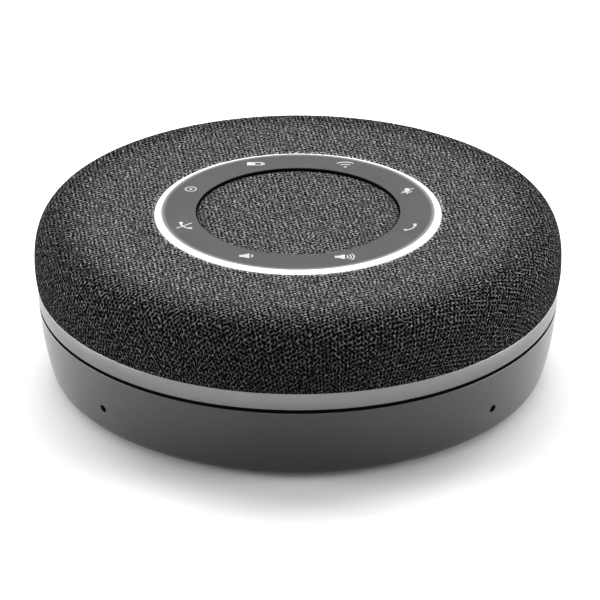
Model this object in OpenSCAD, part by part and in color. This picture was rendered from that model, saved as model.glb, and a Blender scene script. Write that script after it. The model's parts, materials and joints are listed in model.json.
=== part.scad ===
// Round conference speakerphone: a cloth-covered loudspeaker dome on a tapered metal-finish base,
// with a ring of eight keys and a light ring on top.
// The origin is on the table under the middle of the body. +Z is up and the front faces -Y.

/* [Overall] */
// Largest diameter, across the cloth
body_d = 132; // [130:0.5:138]
// Height from the table to the face of the keys
body_h = 42.5; // [42.5:0.25:46]

/* [Base shell] */
// Height of the base shell's top edge above the table
base_top = 19.6; // [19.6:0.1:20]
// Height of the base shell's underside above the table, which the foot ring sets
foot_lift = 0.8; // [0.6:0.1:1]
// Thickness of the base shell's wall
wall = 2; // [1.6:0.1:2.2]
// Radius of the rounded bottom edge
bottom_round = 3.5; // [2.5:0.1:4]
// Radius of a microphone hole
mic_hole_r = 1; // [0.6:0.1:1.2]
// Height of the microphone holes
mic_z = 9.1; // [8.5:0.1:10]
// Angle of the front microphone holes from the front
mic_angle = 48; // [40:1:60]

/* [Trim band] */
// Height of the dark seam between base and band
seam_h = 0.9; // [0.6:0.1:1]
// Height of the bare metal band
band_h = 4.4; // [4:0.1:5]
// Thickness of the bare metal band
band_t = 0.6; // [0.5:0.05:0.8]

/* [Cloth and grille] */
// Thickness of the cloth
cloth_t = 0.7; // [0.5:0.1:0.9]
// Thickness of the grille frame under the cloth
grille_t = 1.5; // [1.2:0.1:1.8]
// Drop of the cloth's flat top below the face of the keys
cloth_drop = 0.45; // [0.3:0.05:0.7]
// Squareness of the cloth's shoulder, where 2 is an ellipse
shoulder_power = 2.6; // [2:0.1:3]
// Depth of the cloth disc in the middle, below the face of the keys
disc_drop = 0.7; // [0.5:0.1:1]

/* [Keys and light ring] */
// Inner radius of the ring of keys
key_in_r = 25.55; // [25.5:0.05:25.8]
// Outer radius of the ring of keys
key_out_r = 34; // [33.5:0.1:34]
// Gap between two keys
key_gap = 0.2; // [0.15:0.05:0.3]
// Thickness of a key's face
key_t = 1.5; // [1.2:0.1:1.6]
// Width of the light ring, seen from above
light_w = 1.85; // [1.6:0.05:1.9]
// Fall of the light ring's face from its inner to its outer edge
light_drop = 0.68; // [0.5:0.02:0.8]

/* [Loudspeaker] */
// Outer radius of the loudspeaker's frame
speaker_r = 32; // [31.6:0.1:32.4]
// Radius of the cone
cone_r = 20.5; // [19:0.1:20.5]
// Radius of the magnet
magnet_r = 17.5; // [16:0.1:18]
// Distance of a passive radiator from the middle
radiator_x = 46; // [45.8:0.1:46.2]
// Outer radius of a passive radiator
radiator_r = 12.5; // [12:0.1:12.8]

/* [Power and inlet] */
// Radius of the power button
power_r = 3.2; // [2.8:0.1:3.5]
// Angle of the power button from the front
power_angle = 152; // [148:1:156]
// Height of the power button
power_z = 9.6; // [9.4:0.1:10.4]
// Height of the inlet socket
inlet_z = 7.8; // [7.8:0.1:8]
// Width of the inlet socket
inlet_w = 9; // [8.8:0.1:9.2]
// Height of the inlet socket
inlet_h = 3.3; // [3.2:0.1:3.4]

/* [Hidden] */
$fn = 96;

body_r = body_d / 2;
lap = 0.05;                      // standing gap between two fixed pieces that touch
steps = 16;                      // straight runs along a quarter curve

// heights, from the table up
plate_bottom = foot_lift + 0.2;
plate_top = plate_bottom + 2;
ledge_top = plate_top + 1.6;
seam_top = base_top + seam_h;
band_top = seam_top + band_h;
tub_flange_z = seam_top + 2;
baffle_z = tub_flange_z + 2;
baffle_t = 2;
speaker_z = body_h - 9.5;        // seat of the loudspeaker's frame
carrier_z = speaker_z + 2.4;
board_z = carrier_z + 1.2;       // underside of the key board
guide_top = body_h - 2;
cloth_top = body_h - cloth_drop;

// radii
base_r = body_r - 0.8;           // base shell at its top edge
band_low_r = body_r - 0.75;
band_high_r = body_r - 0.55;
light_in_r = key_out_r + 0.1;
light_out_r = light_in_r + light_w;
plate_r = base_r - 8.4;
post_r = base_r - 11.2;          // circle of the body screws
lean = 0.06;                     // base shell's slope from upright at its top
curl = 0.0065;                   // how fast that slope grows downwards, per millimetre

// the base shell's outer radius at height z
function base_outer(z) = base_r - lean * (base_top - z) - curl * pow(base_top - z, 2);
// the slope angle of the base shell's side at height z
function base_slope(z) = atan(lean + 2 * curl * (base_top - z));
round_slope = base_slope(foot_lift + bottom_round);
round_z = foot_lift + bottom_round * (1 - sin(round_slope));
round_r = base_outer(round_z) - bottom_round * cos(round_slope);

// half the base shell's section, moved inwards by inset, from its top edge to its underside
function base_side(inset) = concat(
    [for (i = [0 : steps]) let (z = base_top - i / steps * (base_top - round_z))
        [base_outer(z) - inset, z]],
    [for (i = [1 : steps]) let (a = round_slope + i / steps * (90 - round_slope))
        [round_r + (bottom_round - inset) * cos(a),
         foot_lift + bottom_round - (bottom_round - inset) * sin(a)]]);

// the cloth's shoulder and side
shoulder_r = body_r - 8.4;
shoulder_z = body_h - 12.35;
shoulder_w = body_r - shoulder_r;
shoulder_h = cloth_top - shoulder_z;
side_in = body_r - band_high_r;

// unit vector along v
function unit(v) = v / norm(v);
// the point at angle a on the shoulder, from 0 at the side to 90 on top, moved inwards by inset
function shoulder_point(a, inset) = let (
    c = max(cos(a), 0), s = max(sin(a), 0), n = shoulder_power,
    outward = unit([pow(c, 2 - 2 / n) / shoulder_w, pow(s, 2 - 2 / n) / shoulder_h]))
    [shoulder_r + shoulder_w * pow(c, 2 / n), shoulder_z + shoulder_h * pow(s, 2 / n)]
    - inset * outward;
// the point at share s of the way down the side, from the shoulder's foot to the band
function side_point(s, inset) = let (fall = shoulder_z - band_top, outward = unit([fall, -2 * side_in * s]))
    [body_r - side_in * s * s, shoulder_z - fall * s] - inset * outward;
// half the dome's section, moved inwards by inset, from the band up to the flat top
function dome(inset) = concat(
    [for (i = [6 : -1 : 1]) side_point(i / 6, inset)],
    [for (i = [0 : steps]) shoulder_point(90 * i / steps, inset)]);
// the same points in the opposite order
function backwards(list) = [for (i = [len(list) - 1 : -1 : 0]) list[i]];

// a closed ring with a rectangular section
module ring(r_in, r_out, z0, z1) {
    rotate_extrude() translate([r_in, z0]) square([r_out - r_in, z1 - z0]);
}
// a ring of true round holes or pegs
module pegs(count, circle_r, r, z0, z1, start = 0) {
    for (i = [0 : count - 1]) rotate(start + i * 360 / count)
        translate([circle_r, 0, z0]) cylinder(r = r, h = z1 - z0, $fn = 32);
}
// a ring of six-sided grille openings
module openings(count, circle_r, r, z0, z1) {
    for (i = [0 : count - 1]) rotate(i * 360 / count)
        translate([circle_r, 0, z0]) cylinder(r = r, h = z1 - z0, $fn = 6);
}
// pan-head screws on a circle, with their heads on top, or underneath when flip is true
module screws(count, circle_r, shaft_r, head_r, z_seat, length, head_h, start = 0, flip = false) {
    for (i = [0 : count - 1]) rotate(start + i * 360 / count) translate([circle_r, 0, z_seat])
        mirror([0, 0, flip ? 1 : 0]) difference() {
            union() {
                cylinder(r = head_r, h = head_h, $fn = 32);
                translate([0, 0, -length]) cylinder(r = shaft_r, h = length + lap, $fn = 32);
            }
            translate([0, 0, head_h * 0.4]) cylinder(r = head_r * 0.45, h = head_h, $fn = 6);
        }
}
// turns to an angle from the front, where local +Y then points outwards
module facing(angle) { rotate(180 + angle) children(); }
mic_angles = [mic_angle, -mic_angle, 180 - mic_angle, mic_angle - 180];

// ---- outer shells ----
body_screw_start = 15;
module base_shell() {
    post_top = seam_top - 0.1;
    color("dimgray") difference() {
        union() {
            rotate_extrude() polygon(concat(
                base_side(0),
                [[plate_r + 0.2, foot_lift], [plate_r + 0.2, plate_top + lap]],
                [[post_r - 3, plate_top + lap], [post_r - 3, ledge_top]],
                [for (i = [0 : steps]) let (z = ledge_top + i / steps * (base_top - ledge_top))
                    [base_outer(z) - wall, z]]));
            for (i = [0 : 5]) rotate(body_screw_start + i * 60) translate([post_r, 0, ledge_top - lap])
                cylinder(r = 2.6, h = post_top - ledge_top + lap, $fn = 32);
        }
        pegs(6, post_r, 1.15, 0, base_top + 5, body_screw_start);
        for (a = mic_angles) facing(a) translate([0, base_r - 8, mic_z]) rotate([-90, 0, 0])
            cylinder(r = mic_hole_r, h = 10, $fn = 32);
        facing(power_angle) translate([0, base_r - 8, power_z]) rotate([-90, 0, 0])
            cylinder(r = power_r + 0.1, h = 10, $fn = 48);
        inlet_slot(inlet_w + 0.6, inlet_h + 0.6, base_r - 8, 10);
    }
}
// a slot with round ends through the back of the body
module inlet_slot(w, h, y0, depth) {
    translate([0, y0, inlet_z]) rotate([-90, 0, 0]) linear_extrude(depth) union() {
        square([w - h, h], center = true);
        for (x = [-1, 1]) translate([x * (w - h) / 2, 0]) circle(d = h, $fn = 32);
    }
}
foot_in_r = 43;
foot_out_r = 49;
module bottom_plate() {
    color("#2b2b2d") difference() {
        union() {
            ring(0, plate_r, plate_bottom, plate_top);
            for (p = board_posts) translate([p[0], p[1], plate_top - lap])
                cylinder(r = 2.2, h = ledge_top - plate_top + lap, $fn = 32);
        }
        ring(foot_in_r - 0.1, foot_out_r + 0.1, 0, plate_bottom + 0.9);
        translate([0, 0, plate_bottom - 1]) cylinder(r = 30, h = 1.4);
        pegs(6, post_r, 1.15, 0, plate_top + 1, body_screw_start);
        pegs(6, post_r, 2.5, 0, plate_bottom + 1, body_screw_start);
        for (p = board_posts) translate([p[0], p[1], plate_top - 0.6])
            cylinder(r = 0.95, h = 4, $fn = 32);
    }
}
module foot_ring() {
    color("#1c1c1c") rotate_extrude() polygon([
        [foot_in_r, plate_bottom + 0.85], [foot_in_r, 0.4], [foot_in_r + 0.4, 0],
        [foot_out_r - 0.4, 0], [foot_out_r, 0.4], [foot_out_r, plate_bottom + 0.85]]);
}
module mid_frame() {
    shelf_in = post_r - 3;
    color("#161618") difference() {
        union() {
            ring(shelf_in, body_r - 6.4, seam_top + lap, tub_flange_z - lap);
            ring(body_r - 7, band_low_r - band_t - lap, seam_top + lap, band_top - lap);
            ring(base_r - 6.2, base_r - 0.03, base_top + lap, seam_top - lap);
            ring(base_r - 6.2, band_low_r - band_t - lap, seam_top - 0.1, seam_top + 0.1);
        }
        pegs(6, post_r, 0.95, base_top, tub_flange_z + 1, body_screw_start);
        pegs(6, chamber_screw_r, 0.95, seam_top - 1, tub_flange_z + 1, chamber_screw_start);
    }
}
module metal_band() {
    color("#9a9a9c") rotate_extrude() polygon([
        [band_low_r - band_t, seam_top], [band_low_r - 0.1, seam_top], [band_low_r, seam_top + 0.1],
        [band_high_r, band_top - 0.1], [band_high_r - 0.1, band_top],
        [band_low_r - band_t, band_top]]);
}

// ---- cloth and grilles ----
module outer_cloth() {
    color("#47474a") rotate_extrude() polygon(concat(
        [for (p = dome(0)) [p[0], max(p[1], band_top + lap)]],
        [[light_out_r + lap, cloth_top], [light_out_r + lap, cloth_top - cloth_t]],
        backwards([for (p = dome(cloth_t)) [p[0], max(p[1], band_top + lap)]])));
}
module grille_frame() {
    outer_inset = cloth_t + lap;
    inner_inset = cloth_t + grille_t;
    flat_top = cloth_top - outer_inset;
    flat_under = cloth_top - inner_inset;
    color("#202022") difference() {
        rotate_extrude() polygon(concat(
            [for (p = dome(outer_inset)) [p[0], max(p[1], band_top + lap)]],
            [[light_out_r + 0.1, flat_top], [light_out_r + 0.1, flat_under]],
            backwards([for (p = dome(inner_inset)) [p[0], max(p[1], band_top + lap)]])));
        for (row = [0 : 3])
            openings(30 + 5 * row, light_out_r + 4.5 + 5 * row, 1.8, flat_under - 1, flat_top + 1);
        for (row = [0 : 1], i = [0 : 39]) rotate((i + row / 2) * 9)
            translate([body_r - 6, 0, shoulder_z - 2.2 + 4.4 * row]) rotate([0, 90, 0])
                cylinder(r = 1.8, h = 10, $fn = 6);
    }
}
disc_r = key_in_r - 0.2;
module centre_grille() {
    top = body_h - disc_drop - cloth_t - lap;
    color("#202022") difference() {
        ring(0, disc_r - 0.1, top - 1, top);
        openings(6, 4, 1.4, top - 2, top + 1);
        openings(12, 8, 1.4, top - 2, top + 1);
        openings(18, 12, 1.4, top - 2, top + 1);
        openings(24, 16, 1.4, top - 2, top + 1);
        openings(30, 20, 1.4, top - 2, top + 1);
    }
}
module inner_cloth() {
    top = body_h - disc_drop;
    color("#47474a") rotate_extrude() polygon([
        [0, top - cloth_t], [disc_r, top - cloth_t], [disc_r, top - 0.2],
        [disc_r - 0.1, top - 0.06], [disc_r - 0.3, top], [0, top]]);
}

// ---- keys and light ring ----
module light_ring() {
    color("white") rotate_extrude() polygon([
        [light_in_r, carrier_z + 3.4], [light_out_r, carrier_z + 3.4],
        [light_out_r, body_h - light_drop], [light_out_r - 0.12, body_h - light_drop + 0.08],
        [light_in_r + 0.1, body_h], [light_in_r, body_h]]);
}
key_post_r = 1.4;
key_mid_r = (key_in_r + key_out_r) / 2;
key_travel = 0.3;
dome_top = board_z + 1.4;
// one of the eight keys, centred on an angle from the front
module key(angle) {
    under = body_h - key_t;
    color("#6b6b6e") facing(angle) {
        difference() {
            rotate(90 - 22.5) rotate_extrude(angle = 45) translate([key_in_r, under])
                square([key_out_r - key_in_r, key_t]);
            for (side = [-1, 1]) rotate(side * 22.5) translate([-key_gap / 2, 0, under - 1])
                cube([key_gap, key_out_r + 4, key_t + 2]);
        }
        translate([0, key_mid_r, dome_top + key_travel + 0.05])
            cylinder(r = key_post_r, h = under - dome_top - key_travel, $fn = 32);
    }
}
module key_guide() {
    color("#2a2a2c") difference() {
        union() {
            ring(key_in_r - 0.2, key_out_r - 0.2, guide_top - 1.2, guide_top);
            ring(key_in_r - 0.2, key_in_r + 0.8, board_z + 1.05, guide_top);
        }
        pegs(8, key_mid_r, key_post_r + 0.08, board_z, guide_top + 1, 22.5);
    }
}
module key_domes() {
    color("silver") for (i = [0 : 7]) rotate(22.5 + i * 45) translate([key_mid_r, 0, board_z + 1.05])
        rotate_extrude() polygon([[0, 0], [2.2, 0], [1.9, 0.15], [1.2, 0.3], [0, 0.35]]);
}
module key_board() {
    color("darkgreen") ring(disc_r + lap, light_out_r - 0.1, board_z + lap, board_z + 1);
}
module light_emitters() {
    color("ivory") for (i = [0 : 23]) rotate(i * 15)
        translate([light_in_r + light_w / 2 - 0.1, 0, board_z + 1.4]) cube([1.2, 2, 0.7], center = true);
}
ear_r = light_out_r + 3.85;
module key_carrier() {
    color("#2a2a2c") difference() {
        union() {
            ring(24.2, light_out_r + 1.9, carrier_z, board_z);
            ring(light_out_r + 0.1, light_out_r + 1.6, carrier_z, cloth_top - cloth_t - grille_t - 0.1);
            ring(24.2, disc_r - 0.1, carrier_z, body_h - disc_drop - cloth_t - 1.1 - lap);
            pegs(4, ear_r, 2.4, carrier_z, board_z, 45);
        }
        pegs(4, ear_r, 0.95, carrier_z - 1, board_z + 1, 45);
    }
}

// ---- loudspeaker ----
coil_r = 7;
pole_r = 6.4;
cone_foot_z = speaker_z - 7;
module speaker_basket() {
    color("#303033") difference() {
        rotate_extrude() polygon([
            [cone_r + 4.6, speaker_z], [speaker_r, speaker_z], [speaker_r, speaker_z + 1.2],
            [cone_r + 3.6, speaker_z + 1.2], [magnet_r + 1.5, speaker_z - 10.8],
            [9.2, speaker_z - 10.8], [9.2, speaker_z - 12], [magnet_r + 2.5, speaker_z - 12],
            [magnet_r + 2.7, speaker_z - 11.2]]);
        for (i = [0 : 3]) rotate(i * 90) translate([10, -6, speaker_z - 9.6]) cube([20, 12, 6]);
        pegs(4, speaker_r - 2.4, 1, speaker_z - 1, speaker_z + 2, 22.5);
    }
}
module speaker_front_plate() {
    color("silver") ring(coil_r + 0.9, magnet_r - 0.5, speaker_z - 13.8, speaker_z - 12 - lap);
}
module speaker_magnet() {
    color("#3a3a3c") ring(coil_r + 2, magnet_r, speaker_z - 17, speaker_z - 13.8 - lap);
}
module speaker_pole() {
    color("silver") union() {
        ring(0, magnet_r - 0.5, speaker_z - 18.4, speaker_z - 17 - lap);
        translate([0, 0, speaker_z - 17.5]) cylinder(r = pole_r, h = 5.4);
    }
}
module speaker_coil() {
    color("#b06a3a") union() {
        ring(coil_r - 0.2, coil_r, speaker_z - 14.4, cone_foot_z + 0.4);
        ring(coil_r - 0.1, coil_r + 0.4, speaker_z - 14.4, speaker_z - 11.4);
    }
}
module speaker_cone() {
    color("#242426") rotate_extrude() polygon([
        [coil_r + lap, cone_foot_z], [coil_r + 0.8, cone_foot_z], [cone_r, speaker_z - 1],
        [cone_r + 0.8, speaker_z - 1], [cone_r + 0.8, speaker_z - 0.5], [cone_r - 0.3, speaker_z - 0.5],
        [coil_r + lap, cone_foot_z + 0.9]]);
}
module speaker_dust_cap() {
    cap_r = 9.4;
    rim_z = speaker_z - 4.85;
    color("#1d1d1f") rotate_extrude() polygon(concat(
        [for (i = [0 : 8]) [cap_r * cos(90 * i / 8), rim_z + 2.4 * sin(90 * i / 8)]],
        [for (i = [8 : -1 : 0]) [(cap_r - 0.5) * cos(90 * i / 8), rim_z + 2 * sin(90 * i / 8)]]));
}
// a half-round roll between two radii
module roll(r_in, r_out, z0, t) {
    mid = (r_in + r_out) / 2;
    half = (r_out - r_in) / 2 - 0.6;
    rotate_extrude() polygon(concat(
        [[r_in, z0], [r_in, z0 + t]],
        [for (i = [8 : -1 : 0]) [mid + half * cos(180 * i / 8), z0 + t + half * sin(180 * i / 8)]],
        [[r_out, z0 + t], [r_out, z0]],
        [for (i = [0 : 8]) [mid + (half - t) * cos(180 * i / 8), z0 + (half - t) * sin(180 * i / 8)]]));
}
module speaker_surround() {
    color("#1a1a1a") roll(cone_r + 0.85, cone_r + 4.6, speaker_z + 1.25, 0.3);
}
module speaker_spider() {
    foot_out = magnet_r - 0.5;
    color("#c08a3a") union() {
        ring(coil_r + 0.5, foot_out, speaker_z - 9.9, speaker_z - 9.6);
        ring(foot_out - 1.5, foot_out, speaker_z - 10.8 + lap, speaker_z - 9.8);
    }
}
module speaker_gasket() {
    color("#151515") ring(cone_r + 4.9, cone_r + 6.6, speaker_z + 1.25, carrier_z - lap);
}
module speaker_screws() {
    color("silver") screws(4, speaker_r - 2.4, 0.9, 1.5, speaker_z + 1.25, 5, 0.95, 22.5);
}

// ---- acoustic chamber ----
chamber_r = body_r - 7.2;
tub_r = 50;
tub_bottom = 12.6;
turret_in_r = 26.4;
turret_out_r = speaker_r + 0.6;
chamber_screw_r = body_r - 9.5;
chamber_screw_start = 45;
module chamber_tub() {
    color("#252527") difference() {
        union() {
            ring(0, tub_r, tub_bottom, tub_bottom + 1.2);
            ring(tub_r - 1.6, tub_r, tub_bottom, tub_flange_z);
            ring(tub_r - 1.6, chamber_r, tub_flange_z, baffle_z - lap);
        }
        pegs(6, chamber_screw_r, 0.95, tub_flange_z - 1, baffle_z + 1, chamber_screw_start);
        pegs(6, post_r, 2, tub_flange_z - 1, tub_flange_z + 1.4, body_screw_start);
    }
}
module baffle() {
    color("#2a2a2c") difference() {
        union() {
            ring(turret_in_r, chamber_r, baffle_z, baffle_z + baffle_t);
            ring(turret_in_r, turret_out_r, baffle_z, speaker_z - lap);
            pegs(4, ear_r, 2.2, baffle_z, carrier_z - lap, 45);
        }
        pegs(6, chamber_screw_r, 0.95, baffle_z - 1, baffle_z + 4, chamber_screw_start);
        pegs(4, speaker_r - 2.4, 0.95, speaker_z - 5.5, speaker_z + 1, 22.5);
        pegs(4, ear_r, 0.95, carrier_z - 6, carrier_z + 1, 45);
        for (x = [-1, 1]) translate([x * radiator_x, 0, baffle_z - 1])
            cylinder(r = radiator_r - 2.4, h = baffle_t + 2);
    }
}
module chamber_screws() {
    color("silver") screws(6, chamber_screw_r, 0.9, 1.7, baffle_z + baffle_t + lap, 5.6, 1.2, chamber_screw_start);
}
module carrier_screws() {
    color("silver") screws(4, ear_r, 0.9, 1.6, board_z + lap, 6, 1, 45);
}

// ---- passive radiators ----
radiator_z = baffle_z + baffle_t + lap;
module radiator_frames() {
    color("#303033") for (x = [-1, 1]) translate([x * radiator_x, 0, 0])
        ring(radiator_r - 2, radiator_r, radiator_z, radiator_z + 2);
}
module radiator_surround(side) {
    color("#1a1a1a") translate([side * radiator_x, 0, 0])
        roll(radiator_r - 5.9, radiator_r - 2.05, radiator_z + 1.4, 0.3);
}
module radiator_plate(side) {
    color("#8a8a8c") translate([side * radiator_x, 0, 0])
        ring(0, radiator_r - 6, radiator_z + 1, radiator_z + 2.4);
}

// ---- power and electronics ----
battery_size = [58, 32, 7];
battery_y = -21.5;
tray_z = plate_top + lap;
module battery_pack() {
    z0 = tray_z + 1 + lap;
    color("#3d5a8a") translate([0, battery_y, z0]) linear_extrude(battery_size[2]) union() {
        square([battery_size[0] - 4, battery_size[1]], center = true);
        square([battery_size[0], battery_size[1] - 4], center = true);
        for (x = [-1, 1], y = [-1, 1])
            translate([x * (battery_size[0] / 2 - 2), y * (battery_size[1] / 2 - 2)]) circle(r = 2, $fn = 32);
    }
}
module battery_tray() {
    w = battery_size[0] + 3;
    d = battery_size[1] + 3;
    color("#252527") difference() {
        translate([-w / 2, battery_y - d / 2, tray_z]) cube([w, d, 5]);
        translate([-w / 2 + 1.3, battery_y - d / 2 + 1.3, tray_z + 1]) cube([w - 2.6, d - 2.6, 5]);
    }
}
module battery_foam() {
    z0 = tray_z + 1 + battery_size[2] + 2 * lap;
    color("#4a4a4a") translate([-20, battery_y - 10, z0]) cube([40, 20, tub_bottom - z0 - lap]);
}
main_board_z = ledge_top + lap;
board_posts = [[-34, 12], [34, 12], [0, 33]];
module main_board() {
    color("darkgreen") difference() {
        translate([0, 0, main_board_z]) linear_extrude(1.2) union() {
            intersection() {
                circle(r = post_r - 3.2);
                translate([-60, 0]) square([120, 60]);
            }
            translate([-7, 40]) square([14, base_r - 46]);
        }
        for (p = board_posts) translate([p[0], p[1], main_board_z - 1]) cylinder(r = 1.1, h = 4, $fn = 32);
    }
}
module board_chips() {
    z0 = main_board_z + 1.2 + lap;
    color("#1a1a1a") union() {
        translate([-24, 14, z0]) cube([9, 9, 1]);
        translate([14, 8, z0]) cube([7, 7, 1]);
        translate([12, 24, z0]) cube([10, 6, 1.2]);
        translate([-14, 30, z0]) cube([5, 5, 0.9]);
        translate([-9, 6, z0]) cube([18, 14, 2.2]);
        for (i = [0 : 3]) translate([-28 + 6 * i, 36, z0]) cylinder(r = 1.8, h = 3.6, $fn = 32);
    }
}
module board_screws() {
    color("silver") for (p = board_posts) translate([p[0], p[1], 0])
        screws(1, 0, 0.85, 2, main_board_z + 1.2 + lap, 2.2, 1.1);
}
module inlet_socket() {
    depth = 8;
    y_mouth = base_outer(inlet_z) - 1.2;
    color("silver") difference() {
        inlet_slot(inlet_w, inlet_h, y_mouth - depth, depth);
        inlet_slot(inlet_w - 0.6, inlet_h - 0.6, y_mouth - depth + 1, depth);
    }
    color("#111111") translate([-3.3, y_mouth - depth + 0.9, inlet_z - 0.35]) cube([6.6, depth - 1.5, 0.7]);
}
power_travel = 0.5;
module power_button() {
    face_y = base_outer(power_z) - 0.1;
    color("#3c3c3e") facing(power_angle) translate([0, 0, power_z]) rotate([-90, 0, 0]) union() {
        translate([0, 0, face_y - 4.2]) cylinder(r = power_r, h = 3.9, $fn = 48);
        translate([0, 0, face_y - 0.35]) cylinder(r1 = power_r, r2 = power_r - 0.35, h = 0.35, $fn = 48);
        translate([0, 0, face_y - 4.9]) cylinder(r = power_r + 0.7, h = 0.8, $fn = 48);
        translate([0, 0, face_y - 6]) cylinder(r = 1.2, h = 1.2, $fn = 32);
    }
}
module power_switch() {
    front_y = base_outer(power_z) - 6.5 - power_travel;
    color("#202020") facing(power_angle) translate([0, front_y, power_z]) union() {
        translate([-3, -2.4, -2]) cube([6, 2.4, 4]);
        rotate([-90, 0, 0]) translate([0, 0, -lap]) cylinder(r = 1.3, h = 0.4, $fn = 32);
    }
}
module mic_boards() {
    back_y = base_outer(mic_z) - wall - 3.2;
    color("darkgreen") for (a = mic_angles) facing(a)
        translate([-4, back_y, mic_z - 3]) cube([8, 1, 6]);
}
module mic_seals() {
    y0 = base_outer(mic_z) - wall - 2.2 + lap;
    color("#181818") for (a = mic_angles) facing(a) translate([0, y0, mic_z]) rotate([-90, 0, 0])
        difference() {
            cylinder(r = 2.4, h = 1.3, $fn = 32);
            translate([0, 0, -1]) cylinder(r = mic_hole_r, h = 4, $fn = 32);
        }
}
module body_screws() {
    color("#3a3a3c") screws(6, post_r, 0.9, 2.2, plate_bottom + 1 - lap, 18.6, 0.9, body_screw_start, true);
}

base_shell();
bottom_plate();
foot_ring();
mid_frame();
metal_band();
grille_frame();
outer_cloth();
centre_grille();
inner_cloth();
light_ring();
key(-112.5);  // key_function
key(-157.5);  // key_battery
key(157.5);  // key_wireless
key(112.5);  // key_mic_mute
key(67.5);  // key_answer
key(22.5);  // key_volume_up
key(-22.5);  // key_volume_down
key(-67.5);  // key_end_call
key_guide();
key_domes();
key_board();
light_emitters();
key_carrier();
speaker_basket();
speaker_front_plate();
speaker_magnet();
speaker_pole();
speaker_coil();
speaker_cone();
speaker_dust_cap();
speaker_surround();
speaker_spider();
speaker_gasket();
speaker_screws();
baffle();
chamber_tub();
chamber_screws();
carrier_screws();
radiator_frames();
radiator_surround(-1);  // radiator_surround_left
radiator_surround(1);  // radiator_surround_right
radiator_plate(-1);  // radiator_plate_left
radiator_plate(1);  // radiator_plate_right
battery_pack();
battery_tray();
battery_foam();
main_board();
board_chips();
board_screws();
inlet_socket();
power_button();
power_switch();
mic_boards();
mic_seals();
body_screws();
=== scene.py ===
import json
import math

import bmesh
import bpy
import numpy as np
from mathutils import Matrix, Vector


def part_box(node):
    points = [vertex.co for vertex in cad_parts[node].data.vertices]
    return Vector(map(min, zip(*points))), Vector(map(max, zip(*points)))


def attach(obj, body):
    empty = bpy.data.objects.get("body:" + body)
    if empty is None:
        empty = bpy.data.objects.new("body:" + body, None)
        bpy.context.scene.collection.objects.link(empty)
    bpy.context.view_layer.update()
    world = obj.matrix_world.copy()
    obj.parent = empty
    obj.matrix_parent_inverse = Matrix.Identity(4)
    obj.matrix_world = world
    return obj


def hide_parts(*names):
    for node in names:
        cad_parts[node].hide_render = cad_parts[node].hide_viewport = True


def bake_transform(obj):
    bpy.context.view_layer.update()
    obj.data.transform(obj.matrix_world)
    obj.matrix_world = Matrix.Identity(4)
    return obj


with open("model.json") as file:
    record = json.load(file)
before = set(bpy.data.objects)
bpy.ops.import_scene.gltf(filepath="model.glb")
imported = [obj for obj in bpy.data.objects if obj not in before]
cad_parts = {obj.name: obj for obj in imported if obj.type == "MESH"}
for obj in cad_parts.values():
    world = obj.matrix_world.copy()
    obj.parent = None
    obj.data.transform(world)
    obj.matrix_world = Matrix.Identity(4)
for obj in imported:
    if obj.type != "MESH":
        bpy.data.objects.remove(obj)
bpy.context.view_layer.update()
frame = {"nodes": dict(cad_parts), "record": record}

MM = 0.001
UP = Vector((0, 0, 1))
WHITE = (1.0, 1.0, 1.0, 1.0)
SEGMENTS = 288                       # straight runs round a turned piece
KEYS = ["key_function", "key_battery", "key_wireless", "key_mic_mute",
        "key_answer", "key_volume_up", "key_volume_down", "key_end_call"]


# ---------------------------------------------------------------- places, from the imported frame
def node_points(node):
    """Every vertex of a CAD node, as rows of x, y, z."""
    vertices = frame["nodes"][node].data.vertices
    points = np.zeros(len(vertices) * 3)
    vertices.foreach_get("co", points)
    return points.reshape(-1, 3)


def radii(node):
    """The smallest and the largest distance of a node's vertices from the middle axis."""
    points = node_points(node)
    reach = np.hypot(points[:, 0], points[:, 1])
    return float(reach.min()), float(reach.max())


def low(node):
    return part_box(node)[0].z


def high(node):
    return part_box(node)[1].z


def radial(angle):
    """The level direction at an angle about +Z."""
    return Vector((math.cos(angle), math.sin(angle), 0))


def outline(node):
    """The convex section of a turned node: (r, z) from its lowest outer point up to its top."""
    points = node_points(node)
    flat = sorted({(round(math.hypot(x, y), 6), round(z, 6)) for x, y, z in points},
                  key=lambda p: (p[1], p[0]))
    chain = []
    for p in flat:
        while len(chain) > 1 and turn(chain[-2], chain[-1], p) <= 1e-12:
            chain.pop()
        chain.append(p)
    return chain


def turn(a, b, c):
    """Above zero where the way from a through b to c bends left."""
    return (b[0] - a[0]) * (c[1] - b[1]) - (b[1] - a[1]) * (c[0] - b[0])


# ---------------------------------------------------------------- mesh making
def add_object(name, mesh):
    piece = bpy.data.objects.new(name, mesh)
    bpy.context.scene.collection.objects.link(piece)
    return piece


def shade(mesh, angle=35):
    """Smooth shading, with edges sharper than angle left sharp."""
    mesh.shade_smooth()
    mesh.set_sharp_from_angle(angle=math.radians(angle))


def mesh_piece(name, vertices, faces, angle=35):
    """A piece from vertices and faces, with its normals facing outwards."""
    mesh = bpy.data.meshes.new(name)
    mesh.from_pydata([tuple(v) for v in vertices], [], faces)
    work = bmesh.new()
    work.from_mesh(mesh)
    bmesh.ops.remove_doubles(work, verts=work.verts, dist=1e-7)
    bmesh.ops.recalc_face_normals(work, faces=work.faces)
    work.to_mesh(mesh)
    work.free()
    shade(mesh, angle)
    return add_object(name, mesh)


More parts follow.
